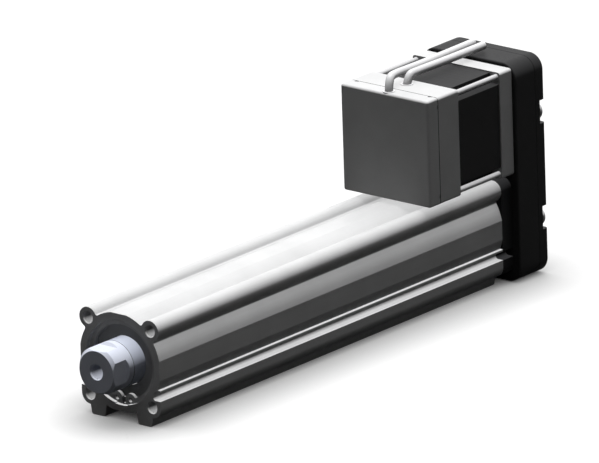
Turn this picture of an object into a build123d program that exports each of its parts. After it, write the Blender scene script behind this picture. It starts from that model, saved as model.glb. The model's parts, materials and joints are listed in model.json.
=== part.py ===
from build123d import *
import math
import os

# Electric rod actuator with a parallel motor.
# Millimetres. The origin is on the rod's axis at the front face of the tube, in the middle of
# the four tapped holes. +X is the way the rod extends, +Z is up and the motor lies above the tube.

# Clearances and eased edges
SEAT_GAP = 0.02
RUNNING_GAP = 0.05
MOVING_GAP = 0.3
BOLT_GAP = 0.25
TAP_OVERRUN = 1.0
TOUCH = 0.001
SEAM_CHAMFER = 0.25

# Travel
STROKE = 150.0
END_GAP = 1.2

# Tube extrusion
BODY_WIDTH = 51.0
BODY_FLAT_DEPTH = 0.5
LOBE_RADIUS = 5.5
VALLEY_FILLET = 1.2
TUBE_WALL = 4.5
MOUTH_STEP = 1.0
KEYWAY_WIDTH = 8.0
KEYWAY_DEPTH = 1.4
FOOT_HEIGHT = 5.0
FOOT_PITCH = 30.0
FOOT_TOP_WIDTH = 12.0
FOOT_BASE_WIDTH = 8.4
FOOT_FILLET = 1.3
SLOT_WIDTH = 4.6
SLOT_DEPTH = 4.7
SLOT_RISE = 6.3
SLOT_FILLET = 1.6
LIP_THICKNESS = 1.2
LIP_FILLET = 0.45

# Tapped holes, drawn at the thread's own size
MOUNT_HOLE_RADIUS = 3.0
MOUNT_HOLE_DEPTH = 12.0
MOUNT_HOLE_CHAMFER = 0.3
BASE_HOLE_DEPTH = 8.5
BASE_HOLE_START = 25.0
BASE_HOLE_PITCH = 80.0

# Retaining ring in the mouth of the tube
RING_DEPTH = 2.0
RING_THICKNESS = 1.75
RING_GROOVE_DEPTH = 1.2
RING_STEP = 2.6
RING_SPLIT = 2.2
LUG_RADIUS = 3.3
LUG_OFFSET = 4.3
LUG_INSET = 2.5
LUG_HOLE_RADIUS = 1.2

# Rod cover and what it holds
COVER_LENGTH = 46.0
COVER_RECESS = 0.9
COVER_LIP = 3.3
COVER_LIP_GAP = 0.3
BUSH_WALL = 3.0
SEAL_LENGTH = 6.0
O_RING_SECTION = 0.95
O_RING_GROOVE_WIDTH = 2.3
O_RING_SETBACK = 20.0
BUMPER_THICKNESS = 3.0

# Rod and socket
ROD_RADIUS = 12.5
ROD_WALL = 4.5
ROD_NOSE_WALL = 24.0
SOCKET_SEAM = 3.9
SOCKET_LENGTH = 14.6
SOCKET_CHAMFER = 1.6
SOCKET_STUD_RADIUS = 7.0
SOCKET_STUD_LENGTH = 16.0
FLAT_CUT = 1.5
FLATS_LENGTH = 9.8
SOCKET_HOLE_RADIUS = 4.0
SOCKET_HOLE_DEPTH = 13.0
SOCKET_HOLE_CHAMFER = 0.3

# Piston and nut
PISTON_LENGTH = 48.0
ROD_THREAD_LENGTH = 14.0
ROD_THREAD_STEP = 1.5
NUT_RADIUS = 10.5
NUT_ROD_GAP = 1.0
NUT_SETBACK = 3.0
BAND_WIDTH = 6.0
BAND_DEPTH = 1.5
MAGNET_WIDTH = 4.0
BAND_PITCH = 9.0
KEY_LENGTH = 14.0
KEY_SEAT = 1.4

# Ball screw and its bearings
SCREW_RADIUS = 6.0
SCREW_COLLAR_STEP = 2.3
SCREW_COLLAR_LENGTH = 4.7
JOURNAL_STEP = 1.0
SUPPORT_LENGTH = 6.0
BEARING_RADIUS = 13.0
BEARING_WIDTH = 8.0
BEARING_COUNT = 2
BEARING_LIP = 2.0
RACE_SHARE = 0.3
SHIELD_THICKNESS = 0.8
RETAINER_LENGTH = 4.0
RETAINER_NOTCH_RADIUS = 1.1
LOCK_NUT_RADIUS = 8.5
LOCK_NUT_GAP = 1.0
LOCK_NUT_LENGTH = 6.0
SPIGOT_LENGTH = 16.8
BLOCK_THICKNESS = 8.2

# Belt drive
BELT_PITCH = 2.5
PULLEY_TEETH = 28
MOTOR_STANDOFF = 2.0
BELT_WIDTH = 9.0
BELT_BACK = 0.6
TOOTH_HEIGHT = 0.7
TOOTH_TIP = 0.95
TOOTH_ROOT = 1.5
TOOTH_GAP = 0.07
PITCH_LINE = 0.3
PULLEY_FLANGE = 1.0
PULLEY_FLANGE_LIP = 1.7
SHAFT_RADIUS = 4.0
SHAFT_GAP = 1.0
SHAFT_END_GAP = 1.3

# Return box
BOX_MARGIN = 1.8
BOX_CORNER_RADIUS = 8.0
BOX_WALL = 2.0
BOX_FRONT_WALL = 2.2
BOX_EDGE_FILLET = 0.8
PLATE_THICKNESS = 7.5
PLATE_EDGE_FILLET = 1.8
POCKET_HEIGHT = 12.4
POCKET_DEPTH = 4.2
POCKET_SCREW_INSET = 4.0
POCKET_REACH = 9.5
BOSS_RADIUS = 4.2
PULLEY_STANDOFF = 0.6

# Motor
MOTOR_WIDTH = 56.4
MOTOR_CORNER_FILLET = 1.5
COVER_CAP_LENGTH = 8.5
COVER_CAP_WALL = 1.8
COVER_CAP_FILLET = 1.3
CAP_CAVITY_MARGIN = 6.2
END_BLOCK_LENGTH = 16.2
STACK_LENGTH = 33.7
STACK_RECESS = 0.7
STACK_NOTCH = 6.2
FLANGE_LENGTH = 9.4
GASKET_THICKNESS = 0.7
GASKET_INSET = 0.6
PILOT_RADIUS = 19.0
PILOT_LENGTH = 2.3
STATOR_BORE_RADIUS = 15.0
AIR_GAP = 0.3
ROTOR_END_GAP = 2.5
COIL_INSET = 1.5
COIL_MARGIN = 5.2
COIL_HEIGHT = 4.0
COIL_GAP = 0.5
MOTOR_BEARING_RADIUS = 11.0
MOTOR_BEARING_WIDTH = 7.0
TIE_INSET = 2.4
TIE_RADIUS = 1.5
TIE_ENGAGEMENT = 5.0
CORNER_INSET = 4.63
CORNER_POCKET_RADIUS = 4.75
CORNER_HEAD_GAP = 0.4
CORNER_HEAD_HEIGHT = 1.5
CORNER_SHANK_RADIUS = 1.4
CORNER_SHANK_LENGTH = 9.0
ENCODER_RADIUS = 12.0
ENCODER_THICKNESS = 0.6
ENCODER_STANDOFF = 1.6
BOARD_MARGIN = 1.0
BOARD_THICKNESS = 1.6

# Fasteners of the drive end
BOX_BOLT_RADIUS = 2.5
BOX_BOLT_HEAD_RADIUS = 4.25
BOX_BOLT_HEAD = 5.0
BOX_BOLT_SOCKET = 2.0
BOX_BOLT_ENGAGEMENT = 12.0
MOTOR_BOLT_RADIUS = 2.0
MOTOR_BOLT_HEAD_RADIUS = 3.5
MOTOR_BOLT_HEAD = 4.0
MOTOR_BOLT_SOCKET = 1.5
MOTOR_BOLT_ENGAGEMENT = 6.5
PLATE_SCREW_RADIUS = 2.5
PLATE_SCREW_HEAD_RADIUS = 4.6
PLATE_SCREW_HEAD = 4.0
PLATE_SCREW_RIM = 1.2
PLATE_SCREW_SOCKET = 1.5
PLATE_SCREW_ENGAGEMENT = 8.0

# Leads
LEAD_RADIUS = 2.15
GROMMET_WALL = 1.1
GROMMET_STAND = 0.25
FRONT_LEAD_SETBACK = 3.6
REAR_LEAD_SETBACK = 9.6
LEAD_SIDE = 0.5
LEAD_SINK = 4.85
BEND_SHARE = 0.45

# Radii and offsets that follow from the sizes above
BORE_RADIUS = BODY_WIDTH / 2 - TUBE_WALL
MOUTH_RADIUS = BORE_RADIUS + MOUTH_STEP
KEYWAY_REACH = BORE_RADIUS + KEYWAY_DEPTH
BODY_RADIUS = BODY_WIDTH / 2 + BODY_FLAT_DEPTH
HOLE_SPACING = BODY_WIDTH - 2 * LOBE_RADIUS
BASE_DROP = BODY_WIDTH / 2 + FOOT_HEIGHT
SLOT_HEIGHT = SLOT_RISE - HOLE_SPACING / 2
RING_GROOVE_RADIUS = MOUTH_RADIUS + RING_GROOVE_DEPTH
RING_BORE_RADIUS = MOUTH_RADIUS - RING_STEP
LUG_DROP = MOUTH_RADIUS - LUG_INSET
ROD_BORE_RADIUS = ROD_RADIUS - ROD_WALL
ROD_THREAD_RADIUS = ROD_RADIUS - ROD_THREAD_STEP
BUSH_OUTER_RADIUS = ROD_RADIUS + RUNNING_GAP + BUSH_WALL
PISTON_RADIUS = BORE_RADIUS - MOVING_GAP
NUT_LENGTH = PISTON_LENGTH - NUT_SETBACK - ROD_THREAD_LENGTH - NUT_ROD_GAP
JOURNAL_RADIUS = SCREW_RADIUS - JOURNAL_STEP
SCREW_COLLAR_RADIUS = JOURNAL_RADIUS + SCREW_COLLAR_STEP
RETAINER_BORE_RADIUS = LOCK_NUT_RADIUS + LOCK_NUT_GAP
MOTOR_HALF = MOTOR_WIDTH / 2
TIE_OFFSET = MOTOR_HALF - TIE_INSET
CORNER_OFFSET = MOTOR_HALF - CORNER_INSET
CORNER_HEAD_RADIUS = CORNER_POCKET_RADIUS - CORNER_HEAD_GAP
ROTOR_RADIUS = STATOR_BORE_RADIUS - AIR_GAP
COIL_INNER_RADIUS = STATOR_BORE_RADIUS + COIL_INSET
COIL_OUTER_RADIUS = MOTOR_HALF - COIL_MARGIN
CAP_CAVITY_RADIUS = MOTOR_HALF - CAP_CAVITY_MARGIN
BOARD_RADIUS = CAP_CAVITY_RADIUS - BOARD_MARGIN
BOX_HALF_WIDTH = MOTOR_HALF + BOX_MARGIN
POCKET_SCREW_OFFSET = BOX_HALF_WIDTH - POCKET_SCREW_INSET

# Belt drive: the belt has the fewest teeth that keep the motor clear of the tube
CLEAR_DISTANCE = BODY_WIDTH / 2 + MOTOR_HALF + MOTOR_STANDOFF
BELT_TEETH = PULLEY_TEETH + math.ceil(2 * CLEAR_DISTANCE / BELT_PITCH)
AXIS_DISTANCE = (BELT_TEETH - PULLEY_TEETH) * BELT_PITCH / 2
MOTOR_TOP = AXIS_DISTANCE + MOTOR_HALF
PITCH_RADIUS = PULLEY_TEETH * BELT_PITCH / (2 * math.pi)
BELT_INNER_RADIUS = PITCH_RADIUS - PITCH_LINE
PULLEY_RADIUS = BELT_INNER_RADIUS - TOOTH_GAP
PULLEY_WIDTH = BELT_WIDTH + 2 * (MOVING_GAP + PULLEY_FLANGE)
BOX_DEPTH = BOX_FRONT_WALL + PULLEY_STANDOFF + PULLEY_WIDTH + MOVING_GAP + SHAFT_END_GAP

# Stations along X that follow from the sizes above
COVER_FRONT = -(RING_DEPTH + RING_THICKNESS + SEAT_GAP)
COVER_REAR = COVER_FRONT - COVER_LENGTH
FRONT_BUMPER_REAR = COVER_REAR - BUMPER_THICKNESS
PISTON_FRONT = FRONT_BUMPER_REAR - END_GAP - STROKE
PISTON_REAR = PISTON_FRONT - PISTON_LENGTH
REAR_BUMPER_FRONT = PISTON_REAR - END_GAP
SPIGOT_FRONT = REAR_BUMPER_FRONT - BUMPER_THICKNESS
TUBE_REAR = SPIGOT_FRONT - SPIGOT_LENGTH
BLOCK_REAR = TUBE_REAR - BLOCK_THICKNESS
BOX_REAR = BLOCK_REAR - BOX_DEPTH
PLATE_REAR = BOX_REAR - PLATE_THICKNESS
BOX_SEAT = BLOCK_REAR - BOX_FRONT_WALL

BEARING_FRONT = SPIGOT_FRONT - BEARING_LIP
BEARING_REAR = BEARING_FRONT - BEARING_COUNT * BEARING_WIDTH

GASKET_FRONT = BLOCK_REAR + GASKET_THICKNESS
FLANGE_FRONT = GASKET_FRONT + FLANGE_LENGTH
STACK_FRONT = FLANGE_FRONT + STACK_LENGTH
END_BLOCK_FRONT = STACK_FRONT + END_BLOCK_LENGTH
MOTOR_FRONT = END_BLOCK_FRONT + COVER_CAP_LENGTH

BELT_FRONT = BOX_SEAT - PULLEY_STANDOFF - PULLEY_FLANGE - MOVING_GAP
PULLEY_REAR = BOX_SEAT - PULLEY_STANDOFF - PULLEY_WIDTH
SHAFT_REAR = PULLEY_REAR - MOVING_GAP
ENCODER_FRONT = END_BLOCK_FRONT + BOARD_THICKNESS + ENCODER_STANDOFF + ENCODER_THICKNESS

# Routes of the leads, from inside the motor, up, over and back over the return box
FRONT_LEAD_ROUTE = [
    (MOTOR_FRONT - FRONT_LEAD_SETBACK, LEAD_SIDE, MOTOR_TOP - LEAD_SINK),
    (MOTOR_FRONT - FRONT_LEAD_SETBACK, LEAD_SIDE, MOTOR_TOP + 7.55),
    (MOTOR_FRONT - 12.73, -1.6, MOTOR_TOP + 7.35),
    (MOTOR_FRONT - 26.33, -3.0, MOTOR_TOP + 6.9),
    (MOTOR_FRONT - 47.33, -2.7, MOTOR_TOP + 6.85),
    (MOTOR_FRONT - 76.03, -2.2, MOTOR_TOP + 6.45),
]
REAR_LEAD_ROUTE = [
    (END_BLOCK_FRONT - REAR_LEAD_SETBACK, LEAD_SIDE, MOTOR_TOP - LEAD_SINK),
    (END_BLOCK_FRONT - REAR_LEAD_SETBACK, LEAD_SIDE, MOTOR_TOP + 4.05),
    (END_BLOCK_FRONT - 18.63, 0.6, MOTOR_TOP + 4.1),
    (END_BLOCK_FRONT - 32.83, 1.1, MOTOR_TOP + 4.17),
    (END_BLOCK_FRONT - 50.83, 1.5, MOTOR_TOP + 4.05),
    (END_BLOCK_FRONT - 69.83, 2.1, MOTOR_TOP + 4.1),
]


# Helpers

def carried(outline, front, rear):
    """Solid made by carrying a YZ outline back from one station to another."""
    return extrude(Plane.YZ.offset(front) * outline, amount=front - rear, dir=(-1, 0, 0))


def eased(solid, end):
    """Solid with the rim of its front face, end 1, or its rear face, end -1, eased where it meets another."""
    face = solid.faces().sort_by(Axis.X)[-1 if end > 0 else 0]
    return chamfer(face.outer_wire().edges(), SEAM_CHAMFER)


def disc(radius, front, rear, height=0.0, side=0.0):
    """Round bar along X."""
    return carried(Pos(side, height) * Circle(radius), front, rear)


def ring(outer, inner, front, rear, height=0.0, side=0.0):
    """Round tube along X."""
    return carried(Pos(side, height) * (Circle(outer) - Circle(inner)), front, rear)


def corners(offset, height=0.0):
    """The four corners of a square about an axis along X."""
    return [(y, height + z) for y in (-offset, offset) for z in (-offset, offset)]


def bolts(places, radius, head_radius, head, seat, tip, socket_radius):
    """Socket head bolts whose heads sit on a seat and point towards the front."""
    made = []
    for y, z in places:
        bolt = disc(head_radius, seat, seat - head, z, y) + disc(radius, tip, seat, z, y)
        socket = RegularPolygon(socket_radius, 6, major_radius=False)
        made.append(bolt - carried(Pos(y, z) * socket, seat - head / 2, seat - head))
    return Compound(children=made)


# Tube

def slot_outline(side):
    """Sensor groove in one side of the tube, open outwards."""
    floor = BODY_WIDTH / 2 - SLOT_DEPTH
    groove = RectangleRounded(2 * SLOT_DEPTH, SLOT_WIDTH, SLOT_FILLET)
    return Pos(side * (floor + SLOT_DEPTH), SLOT_HEIGHT) * groove


def slot_wall_outline(side):
    """Side wall that holds a sensor groove, between the lip and the lower lobe."""
    top = SLOT_HEIGHT + SLOT_WIDTH / 2 + LIP_THICKNESS
    bottom = -HOLE_SPACING / 2
    inner = BODY_WIDTH / 2 - SLOT_DEPTH - LOBE_RADIUS
    width = BODY_WIDTH / 2 - inner
    wall = Pos(inner + width / 2, (top + bottom) / 2) * Rectangle(width, top - bottom)
    lip = wall.vertices().sort_by(Axis.X)[-2:].sort_by(Axis.Y)[-1]
    wall = fillet(lip, LIP_FILLET)
    return wall if side > 0 else mirror(wall, about=Plane.YZ)


def foot_outline(side):
    """Foot rail, tapered towards its base."""
    top = -BODY_WIDTH / 2 + LOBE_RADIUS
    half_top, half_base = FOOT_TOP_WIDTH / 2, FOOT_BASE_WIDTH / 2
    rail = Polygon((half_top, top), (-half_top, top), (-half_base, -BASE_DROP), (half_base, -BASE_DROP),
                   align=None)
    rail = fillet(rail.vertices().sort_by(Axis.Y)[:2], FOOT_FILLET)
    return Pos(side * FOOT_PITCH / 2, 0) * rail


def is_upper_valley(vertex):
    """Whether an outline's vertex is where an upper lobe meets the round body."""
    off_body = abs(math.hypot(vertex.X, vertex.Y) - BODY_RADIUS)
    off_lobe = abs(math.hypot(abs(vertex.X) - HOLE_SPACING / 2, vertex.Y - HOLE_SPACING / 2) - LOBE_RADIUS)
    return max(off_body, off_lobe) < TOUCH


def tube_outline():
    """Outer outline of the extrusion: round body, corner lobes, sensor walls and feet."""
    body = Circle(BODY_RADIUS) & Rectangle(BODY_WIDTH, BODY_WIDTH)
    for y, z in corners(HOLE_SPACING / 2):
        body += Pos(y, z) * Circle(LOBE_RADIUS)
    body = fillet([v for v in body.vertices() if is_upper_valley(v)], VALLEY_FILLET)
    for side in (-1, 1):
        body += slot_wall_outline(side) + foot_outline(side)
    for side in (-1, 1):
        body -= slot_outline(side)
    return body


def tube_body():
    """Extruded tube with its bore, ring groove, tapped ends and tapped feet."""
    keyways = Rectangle(KEYWAY_WIDTH, 2 * KEYWAY_REACH) & Circle(KEYWAY_REACH)
    tube = carried(tube_outline() - Circle(BORE_RADIUS) - keyways, 0, TUBE_REAR)
    tube -= disc(MOUTH_RADIUS, 0, FRONT_BUMPER_REAR)
    tube -= disc(MOUTH_RADIUS, SPIGOT_FRONT, TUBE_REAR)
    tube -= disc(RING_GROOVE_RADIUS, -RING_DEPTH, COVER_FRONT)
    for y, z in corners(HOLE_SPACING / 2):
        tube -= disc(MOUNT_HOLE_RADIUS, 0, -MOUNT_HOLE_DEPTH, z, y)
        mouth = Cone(MOUNT_HOLE_RADIUS, MOUNT_HOLE_RADIUS + MOUNT_HOLE_CHAMFER, MOUNT_HOLE_CHAMFER)
        tube -= Pos(-MOUNT_HOLE_CHAMFER / 2, y, z) * Rot(0, 90, 0) * mouth
        tube -= disc(BOX_BOLT_RADIUS, TUBE_REAR + BOX_BOLT_ENGAGEMENT + TAP_OVERRUN, TUBE_REAR, z, y)
    for x in (-BASE_HOLE_START, -BASE_HOLE_START - BASE_HOLE_PITCH):
        for y in (-FOOT_PITCH / 2, FOOT_PITCH / 2):
            hole = Cylinder(MOUNT_HOLE_RADIUS, BASE_HOLE_DEPTH, align=(Align.CENTER, Align.CENTER, Align.MIN))
            tube -= Pos(x, y, -BASE_DROP) * hole
    return tube


def retaining_ring():
    """Internal ring with two lugs at the bottom, each with a hole for pliers."""
    outline = Circle(RING_GROOVE_RADIUS - SEAT_GAP) - Circle(RING_BORE_RADIUS)
    for side in (-1, 1):
        lug = Circle(LUG_RADIUS) + Pos(0, -LUG_RADIUS / 2) * Rectangle(2 * LUG_RADIUS, LUG_RADIUS)
        outline += (Pos(side * LUG_OFFSET, -LUG_DROP) * lug) & Circle(RING_GROOVE_RADIUS - SEAT_GAP)
    for side in (-1, 1):
        outline -= Pos(side * LUG_OFFSET, -LUG_DROP) * Circle(LUG_HOLE_RADIUS)
    outline -= Pos(0, -RING_GROOVE_RADIUS) * Rectangle(RING_SPLIT, 2 * RING_GROOVE_RADIUS - RING_BORE_RADIUS)
    return carried(outline, -RING_DEPTH, -RING_DEPTH - RING_THICKNESS)


# Rod cover and what it holds

def rod_cover():
    """Turned guide in the tube's mouth, with a recessed face and an outer seal groove."""
    cover = disc(MOUTH_RADIUS - SEAT_GAP, COVER_FRONT, COVER_REAR)
    cover -= disc(RING_BORE_RADIUS - COVER_LIP_GAP, COVER_FRONT, COVER_FRONT - COVER_RECESS)
    cover -= disc(ROD_RADIUS + COVER_LIP_GAP, COVER_FRONT, COVER_REAR)
    cover -= disc(BUSH_OUTER_RADIUS, COVER_FRONT - COVER_RECESS - COVER_LIP, COVER_REAR)
    front = COVER_FRONT - O_RING_SETBACK
    groove = ring(MOUTH_RADIUS, MOUTH_RADIUS - 2 * O_RING_SECTION, front, front - O_RING_GROOVE_WIDTH)
    return cover - groove


def cover_o_ring():
    """Static seal between the cover and the tube."""
    x = COVER_FRONT - O_RING_SETBACK - O_RING_GROOVE_WIDTH / 2
    torus = Torus(MOUTH_RADIUS - O_RING_SECTION, O_RING_SECTION - SEAT_GAP)
    return Pos(x, 0, 0) * Rot(0, 90, 0) * torus


def rod_seal():
    """Scraper seal behind the cover's lip."""
    front = COVER_FRONT - COVER_RECESS - COVER_LIP
    return ring(BUSH_OUTER_RADIUS - SEAT_GAP, ROD_RADIUS + RUNNING_GAP, front, front - SEAL_LENGTH)


def rod_bushing():
    """Guide bush that the rod runs in."""
    front = COVER_FRONT - COVER_RECESS - COVER_LIP - SEAL_LENGTH
    return ring(BUSH_OUTER_RADIUS - SEAT_GAP, ROD_RADIUS + RUNNING_GAP, front, COVER_REAR)


def front_bumper():
    """Soft stop behind the cover."""
    return ring(MOUTH_RADIUS - SEAT_GAP, ROD_RADIUS + MOVING_GAP, COVER_REAR, FRONT_BUMPER_REAR)


# Rod, socket, piston and nut

def piston_rod():
    """Hollow rod that the screw runs into."""
    rear = PISTON_FRONT - ROD_THREAD_LENGTH
    rod = disc(ROD_RADIUS, SOCKET_SEAM, PISTON_FRONT) + disc(ROD_THREAD_RADIUS, PISTON_FRONT, rear)
    rod -= disc(ROD_BORE_RADIUS, COVER_REAR + ROD_NOSE_WALL, rear)
    return rod - disc(SOCKET_STUD_RADIUS, SOCKET_SEAM, SOCKET_SEAM - SOCKET_STUD_LENGTH - TAP_OVERRUN)


def rod_socket():
    """Socket on the rod's end, with four wrench flats and a tapped hole."""
    tip = SOCKET_SEAM + SOCKET_LENGTH
    socket = disc(ROD_RADIUS, tip, SOCKET_SEAM)
    socket = chamfer(socket.edges().filter_by(GeomType.CIRCLE).sort_by(Axis.X)[-1], SOCKET_CHAMFER)
    half, end = ROD_RADIUS - FLAT_CUT, tip - FLATS_LENGTH
    run_out = 2 * FLAT_CUT
    cut = Polygon((end, half), (tip, half), (tip, half + run_out), (end - run_out, half + run_out),
                  align=None)
    flat = extrude(cut, amount=ROD_RADIUS, both=True)
    for turn in range(4):
        socket -= Rot(90 * turn, 0, 0) * flat
    socket += disc(SOCKET_STUD_RADIUS - SEAT_GAP, SOCKET_SEAM, SOCKET_SEAM - SOCKET_STUD_LENGTH)
    socket -= disc(SOCKET_HOLE_RADIUS, tip, tip - SOCKET_HOLE_DEPTH)
    mouth = Cone(SOCKET_HOLE_RADIUS, SOCKET_HOLE_RADIUS + SOCKET_HOLE_CHAMFER, SOCKET_HOLE_CHAMFER)
    return socket - Pos(tip - SOCKET_HOLE_CHAMFER / 2, 0, 0) * Rot(0, 90, 0) * mouth


def band_front(index):
    """Front edge of one of the grooves round the piston."""
    return PISTON_FRONT - BAND_PITCH * (index + 0.5)


def piston():
    """Piston that joins the rod and the nut, with grooves for the band, the magnet and the keys."""
    body = disc(PISTON_RADIUS, PISTON_FRONT, PISTON_REAR)
    body -= disc(ROD_THREAD_RADIUS + SEAT_GAP, PISTON_FRONT, PISTON_FRONT - ROD_THREAD_LENGTH)
    body -= disc(SCREW_COLLAR_RADIUS + MOVING_GAP, PISTON_FRONT, PISTON_REAR)
    body -= disc(NUT_RADIUS + SEAT_GAP, PISTON_REAR + NUT_SETBACK + NUT_LENGTH, PISTON_REAR)
    for index, width in ((0, BAND_WIDTH), (1, MAGNET_WIDTH)):
        front = band_front(index)
        body -= ring(PISTON_RADIUS, PISTON_RADIUS - BAND_DEPTH, front, front - width)
    key_front = band_front(2)
    seat = PISTON_RADIUS - KEY_SEAT
    for side in (-1, 1):
        slot = Pos(0, side * (seat + KEY_SEAT)) * Rectangle(KEYWAY_WIDTH - 2 * MOVING_GAP, 2 * KEY_SEAT)
        body -= carried(slot, key_front, key_front - KEY_LENGTH)
    return body


def wear_ring():
    """Guide band of the piston, which runs in the bore."""
    front = band_front(0)
    inner = PISTON_RADIUS - BAND_DEPTH + SEAT_GAP
    return ring(BORE_RADIUS - RUNNING_GAP, inner, front - SEAT_GAP, front - BAND_WIDTH + SEAT_GAP)


def piston_magnet():
    """Ring magnet that the sensors in the grooves feel."""
    front = band_front(1)
    inner = PISTON_RADIUS - BAND_DEPTH + SEAT_GAP
    return ring(PISTON_RADIUS, inner, front - SEAT_GAP, front - MAGNET_WIDTH + SEAT_GAP)


def rotation_keys():
    """Two keys that run in the tube's keyways and stop the rod turning."""
    front = band_front(2)
    seat = PISTON_RADIUS - KEY_SEAT
    reach = KEYWAY_REACH - MOVING_GAP
    made = []
    for side in (-1, 1):
        middle = side * (seat + reach) / 2
        key = Pos(0, middle) * Rectangle(KEYWAY_WIDTH - 2 * MOVING_GAP - 2 * SEAT_GAP, reach - seat)
        made.append(carried(key & Circle(reach), front - SEAT_GAP, front - KEY_LENGTH + SEAT_GAP))
    return Compound(children=made)


def ball_nut():
    """Nut that the screw drives."""
    rear = PISTON_REAR + NUT_SETBACK
    return ring(NUT_RADIUS, SCREW_RADIUS + RUNNING_GAP, rear + NUT_LENGTH, rear)


# Screw and bearings

def ball_screw():
    """Screw with its front journal, thrust collar, bearing journal and pulley seat."""
    nose = FRONT_BUMPER_REAR + SUPPORT_LENGTH
    collar = BEARING_FRONT + SCREW_COLLAR_LENGTH
    screw = disc(JOURNAL_RADIUS, nose, nose - SUPPORT_LENGTH)
    screw += disc(SCREW_RADIUS, nose - SUPPORT_LENGTH, collar)
    screw += disc(SCREW_COLLAR_RADIUS, collar, BEARING_FRONT)
    screw += disc(JOURNAL_RADIUS, BEARING_FRONT, BOX_SEAT)
    return screw + disc(SHAFT_RADIUS, BOX_SEAT, SHAFT_REAR)


def screw_support():
    """Bush on the screw's free end, which runs in the hollow rod."""
    front = FRONT_BUMPER_REAR + SUPPORT_LENGTH
    return ring(ROD_BORE_RADIUS - RUNNING_GAP, JOURNAL_RADIUS + SEAT_GAP, front, front - SUPPORT_LENGTH)


def bearing_rings(outer, inner, width, fronts, height=0.0):
    """Outer rings with their recessed shields, and inner rings, of shielded ball bearings."""
    band = (outer - inner) * RACE_SHARE
    cups, cones = [], []
    for front in fronts:
        rear = front - width
        cup = ring(outer - SEAT_GAP, outer - band, front, rear, height)
        for edge in (front - MOVING_GAP, rear + MOVING_GAP + SHIELD_THICKNESS):
            cup += ring(outer - band, inner + band + RUNNING_GAP, edge, edge - SHIELD_THICKNESS, height)
        cups.append(cup)
        cones.append(ring(inner + band, inner + SEAT_GAP, front, rear, height))
    return Compound(children=cups), Compound(children=cones)


def screw_bearings():
    """Pair of bearings behind the screw's collar."""
    fronts = [BEARING_FRONT - BEARING_WIDTH * index for index in range(BEARING_COUNT)]
    return bearing_rings(BEARING_RADIUS, JOURNAL_RADIUS, BEARING_WIDTH, fronts)


def bearing_block():
    """Block behind the tube, with a spigot that fits in the tube and holds the bearings."""
    outline = RectangleRounded(BODY_WIDTH, BODY_WIDTH, LOBE_RADIUS)
    for side in (-1, 1):
        outline -= slot_outline(side)
    block = carried(outline, TUBE_REAR, BLOCK_REAR)
    block += disc(MOUTH_RADIUS - SEAT_GAP, SPIGOT_FRONT, TUBE_REAR)
    block -= disc(RETAINER_BORE_RADIUS, SPIGOT_FRONT, BLOCK_REAR)
    block -= disc(BEARING_RADIUS, BEARING_FRONT, BLOCK_REAR)
    for y, z in corners(HOLE_SPACING / 2):
        block -= disc(BOX_BOLT_RADIUS + BOLT_GAP, TUBE_REAR, BLOCK_REAR, z, y)
    return block


def bearing_retainer():
    """Threaded ring that clamps the bearings' outer rings."""
    rear = BEARING_REAR - RETAINER_LENGTH
    retainer = ring(BEARING_RADIUS - SEAT_GAP, RETAINER_BORE_RADIUS, BEARING_REAR, rear)
    notch_radius = (BEARING_RADIUS + RETAINER_BORE_RADIUS) / 2
    for turn in range(4):
        angle = math.radians(45 + 90 * turn)
        y, z = notch_radius * math.cos(angle), notch_radius * math.sin(angle)
        retainer -= disc(RETAINER_NOTCH_RADIUS, rear + RETAINER_LENGTH / 2, rear, z, y)
    return retainer


def screw_lock_nut():
    """Nut that clamps the bearings' inner rings to the screw's collar."""
    outline = RegularPolygon(LOCK_NUT_RADIUS, 6) - Circle(JOURNAL_RADIUS + SEAT_GAP)
    return carried(outline, BEARING_REAR, BEARING_REAR - LOCK_NUT_LENGTH)


def rear_bumper():
    """Soft stop in front of the bearings."""
    return ring(BORE_RADIUS - SEAT_GAP, RETAINER_BORE_RADIUS, REAR_BUMPER_FRONT, SPIGOT_FRONT)


# Belt drive

def belt_loop(radius):
    """Outline of the belt's loop round both axes at a radius."""
    ends = Circle(radius) + Pos(0, AXIS_DISTANCE) * Circle(radius)
    return ends + Pos(0, AXIS_DISTANCE / 2) * Rectangle(2 * radius, AXIS_DISTANCE)


def tooth(root, tip, height):
    """Belt tooth that points towards the pulley, with its root on the belt's inner face."""
    sunk = BELT_BACK / 2
    return Polygon((root / 2, sunk), (-root / 2, sunk), (-root / 2, 0), (-tip / 2, -height),
                   (tip / 2, -height), (root / 2, 0), align=None)


def belt_tooth_places():
    """Where each tooth stands on the loop: height and turn, from the upper pulley's right."""
    half_turn = PULLEY_TEETH * BELT_PITCH / 2
    places = []
    for index in range(BELT_TEETH):
        run = index * BELT_PITCH
        if run <= half_turn:
            angle = run / PITCH_RADIUS
            places.append((AXIS_DISTANCE, math.degrees(angle) - 90))
        elif run <= half_turn + AXIS_DISTANCE:
            places.append((AXIS_DISTANCE - (run - half_turn), 90))
        elif run <= 2 * half_turn + AXIS_DISTANCE:
            angle = math.pi + (run - half_turn - AXIS_DISTANCE) / PITCH_RADIUS
            places.append((0.0, math.degrees(angle) - 90))
        else:
            places.append((run - 2 * half_turn - AXIS_DISTANCE, -90))
    return places


def timing_belt():
    """Toothed belt round both pulleys."""
    outline = belt_loop(BELT_INNER_RADIUS + BELT_BACK) - belt_loop(BELT_INNER_RADIUS)
    shape = tooth(TOOTH_ROOT, TOOTH_TIP, TOOTH_HEIGHT)
    teeth = [Pos(0, height) * Rot(0, 0, turn) * Pos(0, BELT_INNER_RADIUS) * shape
             for height, turn in belt_tooth_places()]
    return carried(outline + teeth, BELT_FRONT, BELT_FRONT - BELT_WIDTH)


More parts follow.
